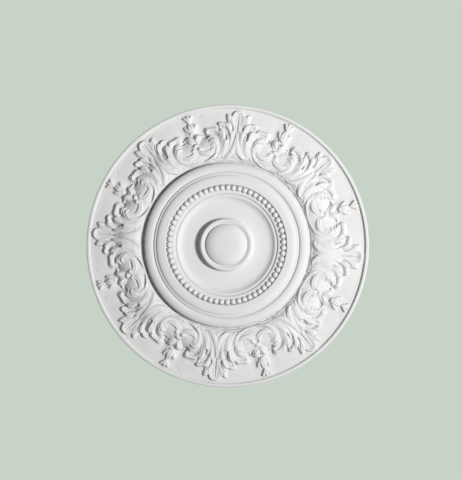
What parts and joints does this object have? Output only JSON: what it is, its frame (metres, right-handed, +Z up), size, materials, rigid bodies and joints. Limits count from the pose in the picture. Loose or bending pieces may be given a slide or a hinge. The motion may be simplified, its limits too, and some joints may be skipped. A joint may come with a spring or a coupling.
{
  "type": "ceiling rose",
  "caption": "Round moulded ceiling rose with a domed boss, a row of beads, a large half-round ring and a carved band of palmettes and scrolls.",
  "frame": {"origin": "centre of the flat back, on the plane that is fixed to the ceiling", "axes": "+Z up, out of the flat back and into the ceiling; the moulded face looks down to -Z; +X lies 5.25 degrees clockwise of one palmette's axis, seen from above"},
  "size_m": [0.6, 0.6, 0.0495],
  "materials": {
    "rose_white": "smooth matt white primer on a rigid foam casting"
  },
  "bodies": {
    "root": {"rose": "rose_white"}
  },
  "joints": []
}
